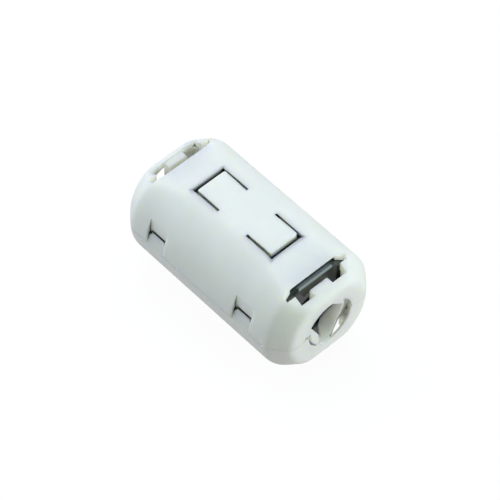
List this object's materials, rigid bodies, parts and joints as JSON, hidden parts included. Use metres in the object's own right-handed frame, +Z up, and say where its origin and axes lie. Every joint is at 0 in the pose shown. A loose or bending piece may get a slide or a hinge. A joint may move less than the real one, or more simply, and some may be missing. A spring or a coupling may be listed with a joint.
{
  "type": "clip-on ferrite bead",
  "caption": "White hinged plastic case that snaps shut with two ferrite half cores around a round cable.",
  "frame": {"origin": "centre of the cable passage, halfway between the end faces, on the parting plane of the two shells", "axes": "X along the cable, -Y towards the latches, +Y towards the hinge, +Z up through the upper shell"},
  "size_m": [0.035, 0.0194, 0.0188],
  "materials": {
    "white_nylon": "satin moulded",
    "ferrite": "sintered and ground"
  },
  "bodies": {
    "lower_half": {"lower_case": "white_nylon", "lower_core": "ferrite", "hinge_films": "white_nylon"},
    "upper_half": {"upper_case": "white_nylon", "upper_core": "ferrite"}
  },
  "joints": [
    {"name": "case_hinge", "type": "hinge", "parent": "lower_half", "child": "upper_half", "pos_m": [0, 0.0098, 0], "axis": [-1, 0, 0], "range_deg": [0, 180], "deforming": ["hinge_films"]}
  ]
}
